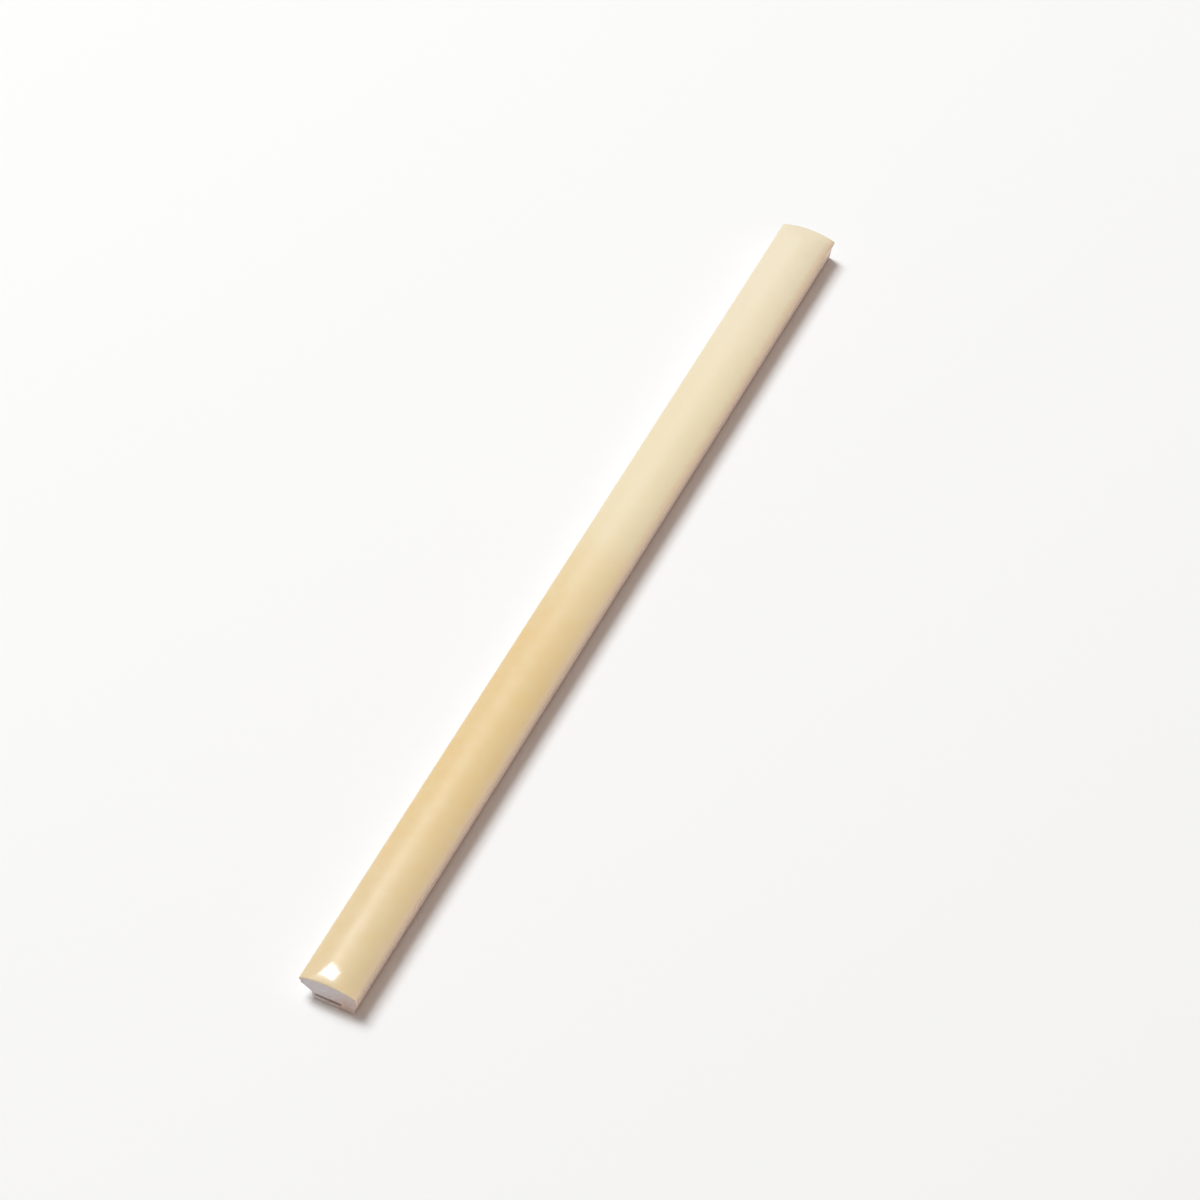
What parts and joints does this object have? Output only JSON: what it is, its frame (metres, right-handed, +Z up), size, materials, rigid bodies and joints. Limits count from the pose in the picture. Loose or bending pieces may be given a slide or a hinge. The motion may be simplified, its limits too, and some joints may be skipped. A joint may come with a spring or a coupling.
{
  "type": "glazed pencil trim bar",
  "caption": "Slim crowned bar of fired clay with a gloss cream to honey glaze, matte sides and ends, one bevelled lower edge, and a drying core that shows as a slit in each end.",
  "frame": {"origin": "middle of the underside, on the plane of the flat back", "axes": "+Y along the bar, +Z up through the crown, +X across the bar to the right"},
  "size_m": [0.0116, 0.203, 0.0069],
  "materials": {
    "bisque_clay": "matte fired clay",
    "engobe_slip": "matte pinkish cream slip",
    "gloss_glaze": "gloss cream to honey glaze"
  },
  "bodies": {
    "root": {"bisque_body": "bisque_clay", "engobe_layer": "engobe_slip", "glaze_coat": "gloss_glaze"}
  },
  "joints": []
}
